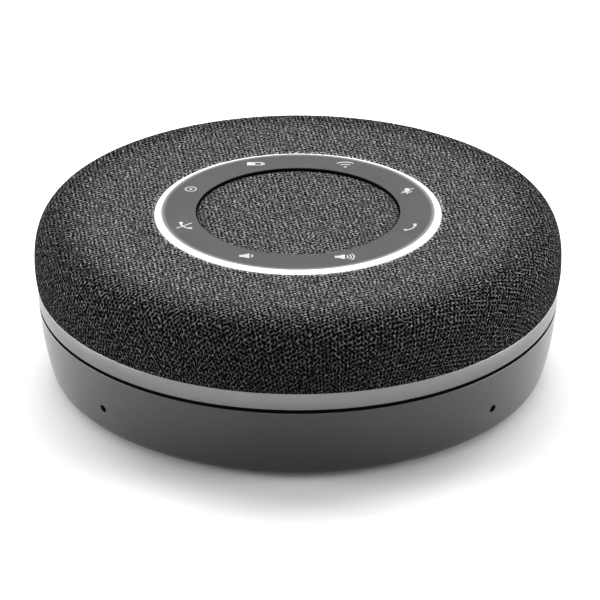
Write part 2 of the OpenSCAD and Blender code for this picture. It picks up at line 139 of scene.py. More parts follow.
def rounded(corners, steps=4):
    """A closed section from corners (r, z) or (r, z, rounding radius)."""
    points = []
    count = len(corners)
    for i, corner in enumerate(corners):
        here = Vector(corner[:2])
        radius = corner[2] if len(corner) > 2 else 0
        if not radius:
            points.append(tuple(here))
            continue
        before = (Vector(corners[i - 1][:2]) - here).normalized()
        after = (Vector(corners[(i + 1) % count][:2]) - here).normalized()
        half = before.angle(after) / 2
        reach = radius / math.tan(half)
        centre = here + (before + after).normalized() * radius / math.sin(half)
        first = here + before * reach - centre
        sweep = first.angle_signed(here + after * reach - centre)
        for k in range(steps + 1):
            points.append(tuple(centre + Matrix.Rotation(-sweep * k / steps, 2) @ first))
    return points


def quarter(steps):
    """The angles of a quarter turn after its start, in radians."""
    return [math.pi / 2 * k / steps for k in range(1, steps + 1)]


def lathe(name, section, segments=SEGMENTS):
    """A closed section (r, z) turned about the middle axis."""
    vertices = []
    faces = []
    count = len(section)
    for i in range(segments):
        a = 2 * math.pi * i / segments
        vertices += [(r * math.cos(a), r * math.sin(a), z) for r, z in section]
    for i in range(segments):
        j = (i + 1) % segments
        for k in range(count):
            m = (k + 1) % count
            if section[k][0] < 1e-9 and section[m][0] < 1e-9:
                continue
            faces.append((i * count + k, i * count + m, j * count + m, j * count + k))
    return mesh_piece(name, vertices, faces)


def turned_about(name, section, place, segments=64):
    """A closed section turned about +Z, then put in its place."""
    piece = lathe(name, section, segments)
    piece.data.transform(place)
    return piece


def smooth_line(points, step):
    """A Catmull-Rom curve through the points, with points about step apart."""
    dense = []
    ends = [points[0]] + list(points) + [points[-1]]
    for i in range(1, len(ends) - 2):
        a, b, c, d = (Vector(p) for p in ends[i - 1:i + 3])
        runs = max(1, round((c - b).length / step))
        for k in range(runs):
            t = k / runs
            dense.append(tuple(0.5 * (2 * b + (c - a) * t + (2 * a - 5 * b + 4 * c - d) * t ** 2
                                      + (3 * b - a - 3 * c + d) * t ** 3)))
    dense.append(tuple(points[-1]))
    return dense


def along_line(points, i):
    """The direction of an open line at its point i."""
    before = Vector(points[max(i - 1, 0)])
    after = Vector(points[min(i + 1, len(points) - 1)])
    return (after - before).normalized()


def inset_line(points, depth):
    """The same open line moved to its left-hand side by depth."""
    moved = []
    for i, p in enumerate(points):
        along = along_line(points, i)
        moved.append((p[0] - along.y * depth, p[1] + along.x * depth))
    return moved


def combine(piece, others, operation):
    """Takes other closed pieces out of a piece (DIFFERENCE) or joins them to it (UNION)."""
    for other in others:
        tool = piece.modifiers.new("combine", "BOOLEAN")
        tool.object = other
        tool.solver = "EXACT"
        tool.operation = operation
    bpy.context.view_layer.update()
    seen = piece.evaluated_get(bpy.context.evaluated_depsgraph_get())
    mesh = bpy.data.meshes.new_from_object(seen)
    piece.modifiers.clear()
    piece.data = mesh
    for other in others:
        bpy.data.objects.remove(other)


def cut(piece, cutters):
    """Takes the cutters' volumes out of a piece."""
    combine(piece, cutters, "DIFFERENCE")


def turned_normals(piece, section, limit=20):
    """Gives faces that lie on a turned section that section's exact normals, so cuts leave no marks."""
    mesh = piece.data
    shade(mesh)
    line = np.array(section)
    mids = (line[1:] + line[:-1]) / 2
    along = line[1:] - line[:-1]
    outwards = np.stack([along[:, 1], -along[:, 0]], 1)
    outwards /= np.linalg.norm(outwards, axis=1)[:, None]
    order = np.argsort(mids[:, 1])
    heights, normal_r, normal_z = mids[order, 1], outwards[order, 0], outwards[order, 1]
    normals = [tuple(n.vector) for n in mesh.corner_normals]
    for polygon in mesh.polygons:
        for loop in polygon.loop_indices:
            x, y, z = mesh.vertices[mesh.loops[loop].vertex_index].co
            reach = math.hypot(x, y)
            if reach < 1e-6:
                continue
            nr = float(np.interp(z, heights, normal_r))
            nz = float(np.interp(z, heights, normal_z))
            turned = Vector((nr * x / reach, nr * y / reach, nz)).normalized()
            if turned.angle(polygon.normal, math.pi) < math.radians(limit):
                normals[loop] = tuple(turned)
    mesh.normals_split_custom_set(normals)


def rod(name, start, end, radius, segments=64):
    """A closed round bar from start to end."""
    start, end = Vector(start), Vector(end)
    work = bmesh.new()
    bmesh.ops.create_cone(work, cap_ends=True, segments=segments, radius1=radius, radius2=radius,
                          depth=(end - start).length)
    turn_to = (end - start).to_track_quat("Z", "Y").to_matrix().to_4x4()
    bmesh.ops.transform(work, verts=work.verts,
                        matrix=Matrix.Translation((start + end) / 2) @ turn_to)
    mesh = bpy.data.meshes.new(name)
    work.to_mesh(mesh)
    work.free()
    return add_object(name, mesh)


def prism(name, shape, z0, z1, place=Matrix.Identity(4)):
    """A flat outline (x, y) made solid between two heights, then put in its place."""
    count = len(shape)
    vertices = [place @ Vector((x, y, z)) for z in (z0, z1) for x, y in shape]
    faces = [tuple(range(count))[::-1], tuple(range(count, 2 * count))]
    faces += [(k, (k + 1) % count, count + (k + 1) % count, count + k) for k in range(count)]
    return mesh_piece(name, vertices, faces)


def rectangle(x0, y0, x1, y1):
    """A flat outline with four corners."""
    return [(x0, y0), (x1, y0), (x1, y1), (x0, y1)]


def slot_shape(width, height, steps=12):
    """A flat outline with two round ends."""
    shape = []
    for side in (1, -1):
        for k in range(steps + 1):
            a = math.pi * (k / steps - 0.5)
            shape.append((side * ((width - height) / 2 + height / 2 * math.cos(a)),
                          side * height / 2 * math.sin(a)))
    return shape


def finish_piece(piece, body, slot, *nodes, material=None):
    """Gives a piece the material of its slot, or the one named, puts it under its body, and hides the CAD
    nodes that it stands for.
    """
    piece.data.materials.clear()
    piece.data.materials.append(MATERIALS[material or slot])
    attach(piece, body)
    if nodes:
        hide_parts(*nodes)


# ---------------------------------------------------------------- materials
class Graph:
    """A small builder for one material's nodes."""

    def __init__(self, material):
        material.use_nodes = True
        self.material = material
        self.nodes = material.node_tree.nodes
        self.links = material.node_tree.links
        self.shader = self.nodes["Principled BSDF"]

    def set(self, **values):
        """Sets uniform values on the shader, with _ for each space in an input's name."""
        for key, value in values.items():
            self.shader.inputs[key.replace("_", " ")].default_value = value

    def plug(self, value, socket):
        if isinstance(value, bpy.types.NodeSocket):
            self.links.new(value, socket)
        else:
            socket.default_value = value

    def to(self, name, value):
        self.plug(value, self.shader.inputs[name])

    def node(self, kind, **settings):
        made = self.nodes.new(kind)
        for key, value in settings.items():
            setattr(made, key, value)
        return made

    def feed(self, made, **inputs):
        """Plugs values into a node's inputs, with _ for each space in an input's name."""
        for key, value in inputs.items():
            self.plug(value, made.inputs[key.replace("_", " ")])
        return made

    def math(self, operation, *values, clamp=False):
        made = self.node("ShaderNodeMath", operation=operation, use_clamp=clamp)
        for socket, value in zip(made.inputs, values):
            self.plug(value, socket)
        return made.outputs[0]

    def vector(self, operation, *values, output="Vector"):
        made = self.node("ShaderNodeVectorMath", operation=operation)
        for socket, value in zip(made.inputs, values):
            self.plug(value, socket)
        return made.outputs[output]

    def dot(self, a, b):
        return self.vector("DOT_PRODUCT", a, b, output="Value")

    def length(self, vector):
        return self.vector("LENGTH", vector, output="Value")

    def place(self):
        """The piece's own coordinates, in metres."""
        return self.node("ShaderNodeTexCoord").outputs["Object"]

    def reach(self):
        """How far a point lies from the middle axis, in metres."""
        return self.length(self.vector("MULTIPLY", self.place(), (1.0, 1.0, 0.0)))

    def noise(self, where, size, detail=2, roughness=0.5, output="Fac"):
        """Noise whose features are about size across, in the unit of where."""
        made = self.node("ShaderNodeTexNoise")
        self.feed(made, Vector=where, Scale=1 / size, Detail=detail, Roughness=roughness)
        return made.outputs[output]

    def band(self, value, low_in, high_in, low_out=0, high_out=1, smooth=True):
        """Maps a range of a value to another range, and holds it there."""
        way = "SMOOTHSTEP" if smooth else "LINEAR"
        made = self.node("ShaderNodeMapRange", interpolation_type=way)
        self.feed(made, Value=value, From_Min=low_in, From_Max=high_in, To_Min=low_out, To_Max=high_out)
        return made.outputs["Result"]

    def mix(self, share, a, b):
        """A colour between a and b."""
        made = self.node("ShaderNodeMix", data_type="RGBA")
        self.feed(made, Factor=share, A=a, B=b)
        return made.outputs["Result"]

    def bump(self, height, distance):
        made = self.feed(self.node("ShaderNodeBump"), Height=height, Distance=distance)
        self.links.new(made.outputs["Normal"], self.shader.inputs["Normal"])


def new_graph(name):
    return Graph(bpy.data.materials.new(name))


def grey(level, tint=0.0):
    """A linear grey, a little blue where tint is above zero."""
    return (level * (1 - tint), level * (1 - tint / 2), level * (1 + tint), 1.0)


def plastic(name, level, roughness, grain=0.35 * MM, tint=0.02, depth=0.01 * MM):
    """Moulded plastic with a fine spark-eroded grain."""
    g = new_graph(name)
    grain_noise = g.noise(g.place(), grain, 3, 0.6)
    cloud = g.band(g.noise(g.place(), 14 * MM), 0.3, 0.7)
    g.to("Base Color", g.mix(cloud, grey(level * 0.92, tint), grey(level * 1.08, tint)))
    g.to("Roughness", g.band(grain_noise, 0.3, 0.7, roughness - 0.06, roughness + 0.06))
    g.bump(grain_noise, depth)
    return g.material


def matte(material, gloss):
    """Lowers a material's gloss."""
    Graph(material).set(Specular_IOR_Level=gloss)
    return material


def rubber(name, level):
    """Dull rubber, foam or pulp with a coarse grain."""
    g = new_graph(name)
    grain = g.noise(g.place(), 0.5 * MM, 4, 0.7)
    g.to("Base Color", g.mix(grain, grey(level * 0.8), grey(level * 1.25)))
    g.to("Roughness", g.band(grain, 0.3, 0.7, 0.72, 0.9))
    g.bump(grain, 0.02 * MM)
    return g.material


def metal(name, colour, roughness, grain=0.15 * MM, depth=0.004 * MM, streak=(1, 1, 1)):
    """Bare metal. A streak of unequal numbers draws the grain out along an axis."""
    g = new_graph(name)
    drawn = g.feed(g.node("ShaderNodeMapping"), Vector=g.place(), Scale=streak)
    fine = g.noise(drawn.outputs["Vector"], grain, 3, 0.6)
    cloud = g.noise(g.place(), 9 * MM, 3)
    darker = tuple(c * 0.9 for c in colour) + (1.0,)
    lighter = tuple(min(1.0, c * 1.08) for c in colour) + (1.0,)
    g.set(Metallic=1.0)
    g.to("Base Color", g.mix(g.band(fine, 0.35, 0.65), darker, lighter))
    g.to("Roughness", g.band(cloud, 0.3, 0.7, roughness - 0.04, roughness + 0.04))
    g.bump(fine, depth)
    return g.material


def speckled_paint(name, level):
    """Dark metallic paint with fine flakes under a satin clear coat."""
    g = new_graph(name)
    flakes = g.feed(g.node("ShaderNodeTexVoronoi"), Vector=g.place(), Scale=1 / (0.2 * MM))
    pick = g.feed(g.node("ShaderNodeSeparateColor"), Color=flakes.outputs["Color"])
    bright = g.band(pick.outputs["Red"], 0.6, 1.0)
    cloud = g.band(g.noise(g.place(), 20 * MM), 0.3, 0.7)
    base = g.mix(cloud, grey(level * 0.96, 0.01), grey(level * 1.04, 0.01))
    g.set(Metallic=0.3, Coat_Weight=1.0, Coat_Roughness=0.3)
    g.to("Base Color", g.mix(g.math("MULTIPLY", bright, 0.22), base, grey(level * 2.2)))
    g.to("Roughness", g.band(pick.outputs["Green"], 0.0, 1.0, 0.5, 0.62))
    peel = g.noise(g.place(), 1.6 * MM)
    g.bump(g.math("ADD", g.math("MULTIPLY", peel, 0.4), pick.outputs["Blue"]), 0.006 * MM)
    return g.material


# The knit repeats as three waves over the flat cloth: one across its columns, one along them, and
# their difference, which lays the stitches out in slanting rows. In turns per millimetre.
ACROSS = (1.0, 0.14, 0.0)
ALONG = (0.42, -0.80, 0.0)
STITCH_DEPTH = 0.064                 # how strongly the waves gather the fibres into stitches
SLANT = math.radians(52)             # the way that the stitches' fibres run
FIBRE_SIZE = 0.4                     # in millimetres, across the fibres
FIBRE_LENGTH = 2.0                   # how many times longer they are than wide
# The rows wander off by up to WANDER millimetres over a way of WANDER_SIZE millimetres.
WANDER = (1.1, 1.1, 0.0)
WANDER_SIZE = 10 / 3
# From the start of the shoulder outwards the knit's near-black gaps widen, so the cloth's sides and front
# darken: painted shade. In millimetres from the middle.
SHOULDER_SHADE_START, SHOULDER_SHADE_END = 49.0, 64.0
SHOULDER_SHADE_SHARE = 0.062
CLOTH_EDGE = radii("outer_cloth")[0] / MM
LEAK = 0.3                           # painted glow: the strength of the light that the light ring spills on the cloth's edge, painted as emission
LEAK_REACH = 1.6                     # how far it spills, in millimetres


def stitch_waves(g, laid):
    """The three waves' sum, and the stitch that a point lies in."""
    s = g.dot(laid, ACROSS)
    t = g.dot(laid, ALONG)
    waves = 0.0
    for turns, height in ((s, 0.85), (t, 0.75), (g.math("SUBTRACT", s, t), 0.6)):
        wave = g.math("COSINE", g.math("MULTIPLY", turns, 2 * math.pi))
        waves = g.math("ADD", g.math("MULTIPLY", wave, height), waves)
    stitch = g.feed(g.node("ShaderNodeCombineXYZ"), X=g.math("ROUND", g.math("ADD", s, 0.5)),
                    Y=g.math("ROUND", t))
    return waves, stitch.outputs["Vector"]


def cloth(name, level):
    """Open knit of mottled yarn, whose near-black gaps are painted shade that deepens from the shoulder
    outwards, with a painted glow at its edge by the light ring. The attribute cloth_mm lays it flat, in
    millimetres.
    """
    g = new_graph(name)
    flat = g.node("ShaderNodeAttribute", attribute_name="cloth_mm").outputs["Vector"]
    wander = g.noise(flat, WANDER_SIZE, 3, 0.6, "Color")
    laid = g.vector("MULTIPLY_ADD", wander, WANDER, flat)
    waves, stitch = stitch_waves(g, laid)
    chance = g.feed(g.node("ShaderNodeTexWhiteNoise"), Vector=stitch).outputs["Value"]
    turned = g.feed(g.node("ShaderNodeMapping", vector_type="TEXTURE"), Vector=laid,
                    Rotation=(0, 0, SLANT), Scale=(FIBRE_LENGTH, 1.0, 1.0))
    fibre = g.noise(turned.outputs["Vector"], FIBRE_SIZE, 2, 0.6)
    way = g.length(flat)
    # painted shade: the gaps widen from the shoulder outwards
    shoulder_shade = g.band(way, SHOULDER_SHADE_START, SHOULDER_SHADE_END, 0.0, SHOULDER_SHADE_SHARE)
    gathered = g.math("SUBTRACT", fibre, g.math("MULTIPLY", waves, STITCH_DEPTH))
    strand = g.band(g.math("SUBTRACT", gathered, shoulder_shade), 0.425, 0.76, 0.0, 1.8, smooth=False)
    yarn = g.math("MULTIPLY", strand, g.math("MULTIPLY_ADD", chance, 0.8, 0.6))
    share = g.math("MULTIPLY", yarn, 0.4, clamp=True)
    # the gaps between the stitches are painted near black: painted shade
    g.to("Base Color", g.mix(share, grey(0.002), grey(level, 0.01)))
    g.bump(yarn, 0.5 * MM)
    # painted glow: the cloth's edge emits light near the light ring
    outer = g.math("GREATER_THAN", way, CLOTH_EDGE - 0.6)
    painted_glow = g.math("MULTIPLY", g.band(way, CLOTH_EDGE, CLOTH_EDGE + LEAK_REACH, LEAK, 0.0), outer)
    g.to("Emission Strength", g.math("MULTIPLY", painted_glow, yarn))
    g.set(Emission_Color=WHITE, Roughness=0.95, Specular_IOR_Level=0.0)
    return g.material


def glowing(name, strength):
    """The frosted light guide, lit white from below and dimmer towards its edges."""
    g = new_graph(name)
    r_in, r_out = radii("light_ring")
    reach = g.reach()
    inner = g.band(reach, r_in, r_in + 0.3 * MM, 0.25, 1.0)
    outer = g.band(reach, r_out - 0.75 * MM, r_out - 0.05 * MM, 1.0, 0.08)
    frost = g.band(g.noise(g.place(), 2 * MM), 0.2, 0.8, strength * 0.96, strength * 1.04)
    g.set(Base_Color=grey(0.14), Roughness=0.4, Emission_Color=WHITE)
    g.to("Emission Strength", g.math("MULTIPLY", g.math("MULTIPLY", inner, outer), frost))
    return g.material


def lit_rim(material):
    """Paints a faint glow on the keys' soft skin where it meets the light guide: painted light from the
    guide.
    """
    g = Graph(material)
    edge = radii("light_ring")[0]
    near = g.band(g.reach(), edge - 1.6 * MM, edge)
    g.set(Emission_Color=WHITE)
    g.to("Emission Strength", g.math("MULTIPLY", g.math("POWER", near, 2.0), 0.3))
    return material


def board_green(name):
    """Green solder mask with faint copper runs under it."""
    g = new_graph(name)
    runs = g.node("ShaderNodeTexBrick", offset=0.37, squash=0.6)
    g.feed(runs, Vector=g.place(), Scale=1 / (3 * MM), Color1=(0.012, 0.09, 0.03, 1),
           Color2=(0.014, 0.11, 0.036, 1), Mortar=(0.03, 0.2, 0.07, 1), Mortar_Size=0.04)
    g.to("Base Color", runs.outputs["Color"])
    g.to("Roughness", g.band(g.noise(g.place(), 1.2 * MM), 0.3, 0.7, 0.28, 0.4))
    return g.material


def key_plastic(name):
    """The keys' matt skin, with a painted glow at its rim."""
    skin = plastic(name, 0.032, 0.6, tint=0.01, depth=0.002 * MM)
    return lit_rim(matte(skin, 0.18))


MATERIALS = {
    "base_paint": speckled_paint("base_paint", 0.03),
    "band_metal": metal("band_metal", (0.235, 0.235, 0.24), 0.36),
    # seam_black: near black without gloss. The seam ring and the recess sleeve use it as painted shade; the
    # microphones' gauze is black in its own right.
    "seam_black": matte(plastic("seam_black", 0.004, 0.8), 0.0),
    "cloth": cloth("cloth", 0.48),
    "key_plastic": key_plastic("key_plastic"),
    "light_guide": glowing("light_guide", 1.2),
    "black_plastic": plastic("black_plastic", 0.02, 0.55),
    "button_plastic": plastic("button_plastic", 0.045, 0.45),
    "foot_rubber": rubber("foot_rubber", 0.02),
    "surround_rubber": rubber("surround_rubber", 0.012),
    "steel": metal("steel", (0.55, 0.55, 0.56), 0.3, 0.2 * MM),
    "ferrite": plastic("ferrite", 0.05, 0.8, 0.3 * MM),
    "copper": metal("copper", (0.62, 0.26, 0.12), 0.35, 0.1 * MM, 0.02 * MM, (0.2, 0.2, 6)),
    "cone_pulp": rubber("cone_pulp", 0.02),
    "spider_cloth": rubber("spider_cloth", 0.2),
    "basket_paint": plastic("basket_paint", 0.03, 0.4),
    "circuit_board": board_green("circuit_board"),
    "chip_black": plastic("chip_black", 0.015, 0.5),
    "emitter": plastic("emitter", 0.8, 0.3),
    "battery_wrap": plastic("battery_wrap", 0.12, 0.25, tint=0.4),
    "foam": rubber("foam", 0.06),
    "screw_black": metal("screw_black", (0.05, 0.05, 0.05), 0.4, 0.2 * MM),
    "symbol_print": plastic("symbol_print", 0.22, 0.5, tint=0.0, depth=0.001 * MM),
}
slot_of = {part["node"]: part["material_slot"] for part in frame["record"]["subparts"]}


def dress_cad_nodes():
    """Every CAD node gets its slot's material; the pieces below stand for the ones that show."""
    for name, node in frame["nodes"].items():
        node.data.materials.clear()
        node.data.materials.append(MATERIALS[slot_of[name]])
        shade(node.data, 30)


# ---------------------------------------------------------------- base, band and seam
MIC_HOLE_R = 1.0 * MM
GAUZE_T = 0.15 * MM
SEAM_LAP = 0.07 * MM                 # how far the seam's ring of painted shade laps down inside the base's edge
SHELL_T = 1.8 * MM                   # wall of the base shell
POWER_GAP = 0.12 * MM                # gap round the power button
INLET_GAP = 0.3 * MM                 # gap round the inlet socket


def power_button_place():
    """The centre of the power button's face and the direction that it faces."""
    points = node_points("power_button")
    middle = (points.min(0) + points.max(0)) / 2
    out = Vector((middle[0], middle[1], 0)).normalized()
    reach = max(Vector(p).dot(out) for p in points)
    return out * reach + UP * float(middle[2]), out


def button_radius():
    """The radius of the power button's round face, from the points in front of its flange."""
    flange = 1.2 * MM
    face, out = power_button_place()
    side = out.cross(UP)
    points = [Vector(p) for p in node_points("power_button")]
    near = [p for p in points if (face - p).dot(out) < flange]
    return max(abs((p - face).dot(side)) for p in near)


def microphone_directions():
    """The four microphones' level directions, from the middles of their boards."""
    points = node_points("mic_boards")
    found = []
    for sx in (-1, 1):
        for sy in (-1, 1):
            part = points[(points[:, 0] * sx > 0) & (points[:, 1] * sy > 0)]
            middle = (part.min(0) + part.max(0)) / 2
            found.append(radial(math.atan2(middle[1], middle[0])))
    return found


def facing_back(y, z):
    """Turns a flat outline to stand upright, facing +Y, with its depth along +Y."""
    return Matrix.Translation((0, y, z)) @ Matrix.Rotation(math.radians(-90), 4, "X")


def shell_cutters():
    """The volumes of the microphone holes, the power button's hole and the inlet's slot."""
    wall_r = radii("base_shell")[1]
    mic_height = UP * (low("mic_boards") + high("mic_boards")) / 2
    cutters = [rod("mic_cut", out * (wall_r - 8 * MM) + mic_height,
                   out * (wall_r + 4 * MM) + mic_height, MIC_HOLE_R, 32)
               for out in microphone_directions()]
    face, out = power_button_place()
    depth = out * 8 * MM
    cutters.append(rod("power_cut", face - depth, face + depth, button_radius() + POWER_GAP))
    lo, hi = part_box("inlet_socket")
    slot = slot_shape(hi.x - lo.x + 2 * INLET_GAP, hi.z - lo.z + 2 * INLET_GAP)
    place = facing_back(hi.y - 6 * MM, (lo.z + hi.z) / 2)
    cutters.append(prism("inlet_cut", slot, 0, 14 * MM, place))
    return cutters


def base_shell():
    """The painted lower housing, with an eased top edge."""
    chain = outline("base_shell")
    outside = chain[:chain.index(max(chain)) + 1]
    edge = 0.05 * MM
    line = smooth_line(outside, 0.5 * MM)
    top_r, top_z = line[-1][0], line[-1][1] - SEAM_LAP
    line = line[:-1] + [(top_r, top_z - edge)]
    line += [(top_r - edge * (1 - math.cos(a)), top_z - edge * (1 - math.sin(a))) for a in quarter(4)]
    plate_r = line[0][0]
    floor_z = line[0][1] + 3 * MM
    inner = [p for p in inset_line(outside, SHELL_T)[::-1] if floor_z < p[1] < top_z - 1 * MM]
    inner = [(top_r - SHELL_T, top_z)] + inner + [(inner[-1][0], floor_z), (plate_r, floor_z)]
    shell = lathe("base_shell_skin", line + inner, 360)
    cut(shell, shell_cutters())
    turned_normals(shell, line)
    finish_piece(shell, "root", "base_paint", "base_shell")


def power_button():
    """The round button with a shallow dish in its face."""
    face, out = power_button_place()
    r = button_radius()
    dish = 0.25 * MM
    dish_r = r * 0.86
    depth = 3.6 * MM
    steps = 6
    hollow = [(dish_r * k / steps, -dish * (1 - (k / steps) ** 2)) for k in range(steps + 1)]
    rim = rounded([(r * 0.93, 0.0, 0.1 * MM), (r, -0.25 * MM, 0.15 * MM), (r, -depth), (0, -depth)])
    place = Matrix.Translation(face) @ out.to_track_quat("Z", "Y").to_matrix().to_4x4()
    button = turned_about("power_button_cap", hollow + rim, place)
    finish_piece(button, "power_button", "button_plastic", "power_button")


def mid_frame():
    """The frame's dark rim, which shows as the seam between the band and the base. Its near-black, glossless
    colour, out almost flush with the base, is painted shade that stands for the shadow in the seam's gap.
    """
    z0, z1 = low("mid_frame") - SEAM_LAP, high("mid_frame")
    seam_top = low("metal_band")
    band_in = radii("metal_band")[0]
    frame_in = band_in - 5 * MM
    # the rim reaches almost to the base's face, so that its painted shade fills the seam's whole height
    rim_r = radii("base_shell")[1] - 0.03 * MM
    section = [(frame_in, z0), (rim_r, z0), (rim_r, seam_top - 0.02 * MM), (band_in, seam_top),
               (band_in, z1), (frame_in, z1)]
    piece = lathe("seam_ring", section)
    finish_piece(piece, "root", "seam_black", "mid_frame")


def metal_band():
    """The bare band, which leans out a little towards its top."""
    r_in, r_out = radii("metal_band")
    z0, z1 = low("metal_band"), high("metal_band")
    foot_r = r_out - 0.2 * MM
    section = rounded([(r_in, z0), (foot_r, z0, 0.04 * MM), (r_out, z1, 0.05 * MM), (r_in, z1)], 3)
    piece = lathe("metal_band_ring", section)
    finish_piece(piece, "root", "band_metal", "metal_band")


def mic_gauzes():
    """A round of black gauze in each microphone's seal, which hides the board behind it."""
    height = UP * (low("mic_seals") + high("mic_seals")) / 2
    reach = radii("mic_seals")[1] - 0.6 * MM
    for i, out in enumerate(microphone_directions()):
        start = out * (reach - GAUZE_T) + height
        gauze = rod(f"mic_gauze_{i + 1}", start, start + out * GAUZE_T, MIC_HOLE_R - 0.02 * MM, 32)
        shade(gauze.data)
        finish_piece(gauze, "root", "seam_black")


# ---------------------------------------------------------------- underside
def screw_places():
    """The body screws' places, from the angles at which their vertices lie."""
    points = node_points("body_screws")
    angles = np.degrees(np.arctan2(points[:, 1], points[:, 0])) % 360
    circle = sum(radii("body_screws")) / 2
    places = []
    for start in range(0, 360, 60):
        part = angles[(angles >= start) & (angles < start + 60)]
        middle = math.radians(float(part.min() + part.max()) / 2)
        places.append(radial(middle) * circle)
    return places


def bottom_plate():
    """The plate, with a groove for the foot ring, a raised middle and sunk screw holes."""
    r = radii("bottom_plate")[1]
    z0 = low("bottom_plate")
    z1 = z0 + 2 * MM
    step_r, step_z = 30 * MM, z0 + 0.4 * MM
    gap = 0.1 * MM
    groove_in, groove_out = radii("foot_ring")[0] - gap, radii("foot_ring")[1] + gap
    groove_z = z0 + 0.9 * MM
    edge = 0.2 * MM
    section = rounded([(0, step_z), (step_r, step_z), (step_r, z0, edge),
                       (groove_in, z0, edge), (groove_in, groove_z), (groove_out, groove_z),
                       (groove_out, z0, edge), (r, z0, edge), (r, z1), (0, z1)], 3)
    plate = lathe("bottom_plate_skin", section, 192)
    cut(plate, [rod("screw_cut", spot + UP * (z0 - MM), spot + UP * (z0 + MM), 2.5 * MM, 48)
                for spot in screw_places()])
    shade(plate.data, 30)
    finish_piece(plate, "root", "black_plastic", "bottom_plate")


def body_screws():
    """Pan heads with a cross recess, one piece for each screw."""
    lo = low("body_screws")
    head_r = (radii("body_screws")[1] - radii("body_screws")[0]) / 2
    head_z = lo + 0.9 * MM
    shank_r, shank_z = 0.9 * MM, lo + 8 * MM
    slot_half = 0.22 * MM
    section = rounded([(0, lo), (head_r * 0.55, lo, 0.3 * MM), (head_r, lo + 0.4 * MM, 0.25 * MM),
                       (head_r, head_z), (shank_r, head_z), (shank_r, shank_z), (0, shank_z)])
    for i, spot in enumerate(screw_places()):
        screw = turned_about(f"body_screw_{i + 1}", section, Matrix.Identity(4), 48)
        bars = []
        for turn_by in (0, 90):
            place = Matrix.Rotation(math.radians(turn_by + 20 * i), 4, "Z")
            bar = rectangle(-head_r * 0.5, -slot_half, head_r * 0.5, slot_half)
            bars.append(prism("cross_cut", bar, lo - MM, lo + 0.55 * MM, place))
        cut(screw, bars)
        screw.data.transform(Matrix.Translation(spot))
        shade(screw.data, 30)
        finish_piece(screw, "root", "screw_black", "body_screws")


def foot_ring():
    """The rubber ring, with two round grooves in its sole."""
    r_in, r_out = radii("foot_ring")
    z1 = high("foot_ring")
    mid = (r_in + r_out) / 2
    groove_depth, groove_half = 0.35 * MM, 0.3 * MM
    round_r, lip_r = 0.35 * MM, 0.08 * MM
    corners = [(r_in, 0, round_r)]
    for side in (-1, 1):
        x = mid + side * 1.4 * MM
        a, b = x - groove_half, x + groove_half
        corners += [(a, 0, lip_r), (a, groove_depth), (b, groove_depth), (b, 0, lip_r)]
    corners += [(r_out, 0, round_r), (r_out, z1), (r_in, z1)]
    piece = lathe("foot_ring_skin", rounded(corners, 3), 192)
    finish_piece(piece, "root", "foot_rubber", "foot_ring")


# ---------------------------------------------------------------- inlet
def inlet_contacts(mouth_y, z):
    """A row of flat contacts on each side of the tongue, as one mesh."""
    count = 12
    pitch = 0.5 * MM
    middle_y = mouth_y - 2.6 * MM
    off_middle = 0.36 * MM
    size = Matrix.Diagonal((0.26 * MM, 3 * MM, 0.06 * MM, 1))
    work = bmesh.new()
    for side in (-1, 1):
        for k in range(count):
            x = (k - (count - 1) / 2) * pitch
            spot = Matrix.Translation((x, middle_y, z + side * off_middle))
            bmesh.ops.create_cube(work, size=1, matrix=spot @ size)
    mesh = bpy.data.meshes.new("inlet_contacts")
    work.to_mesh(mesh)
    work.free()
    return add_object("inlet_contacts", mesh)


def inlet_socket():
    """The inlet's folded shell, with its tongue and contacts inside."""
    lo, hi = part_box("inlet_socket")
    z = (lo.z + hi.z) / 2
    width, height, depth = hi.x - lo.x, hi.z - lo.z, hi.y - lo.y
    place = facing_back(lo.y, z)
    walls = 0.6 * MM
    back = 1 * MM
    shell = prism("inlet_shell", slot_shape(width, height), 0, depth, place)
    inside = slot_shape(width - walls, height - walls)
    cut(shell, [prism("inlet_hole", inside, back, depth + MM, place)])
    shade(shell.data, 30)
    finish_piece(shell, "root", "steel", "inlet_socket")
    half_w, half_h = 3.3 * MM, 0.35 * MM
    blade = rectangle(-half_w, -half_h, half_w, half_h)
    tongue = prism("inlet_tongue", blade, 0.9 * MM, depth - 0.6 * MM, place)
    finish_piece(tongue, "root", "chip_black", "inlet_socket")
    finish_piece(inlet_contacts(hi.y, z), "root", "copper", "inlet_socket")


# ---------------------------------------------------------------- cloth
def lay_flat(piece, centre_z):
    """Writes cloth_mm: each point's place on the flat cloth, by its way from the middle, in millimetres."""
    mesh = piece.data
    co = np.zeros(len(mesh.vertices) * 3)
    mesh.vertices.foreach_get("co", co)
    co = co.reshape(-1, 3) / MM
    reach = np.hypot(co[:, 0], co[:, 1])
    line = np.array(centre_z) / MM
    runs = np.concatenate([[0], np.cumsum(np.hypot(np.diff(line[:, 0]), np.diff(line[:, 1])))])
    start = line[0, 0]
    across = reach[:, None] - line[None, :, 0]
    up = co[:, 2][:, None] - line[None, :, 1]
    nearest = np.argmin(across ** 2 + up ** 2, axis=1)
    way = np.where(nearest > 0, start + runs[nearest], reach)
    scale = way / np.maximum(reach, 1e-6)
    flat = np.stack([co[:, 0] * scale, co[:, 1] * scale, np.zeros(len(co))], 1)
    attribute = mesh.attributes.new("cloth_mm", "FLOAT_VECTOR", "POINT")
    attribute.data.foreach_set("vector", flat.astype(np.float32).ravel())


def declare_stretched(line):
    """Turns the line into an array and does nothing more with it."""
    line = np.array(line)


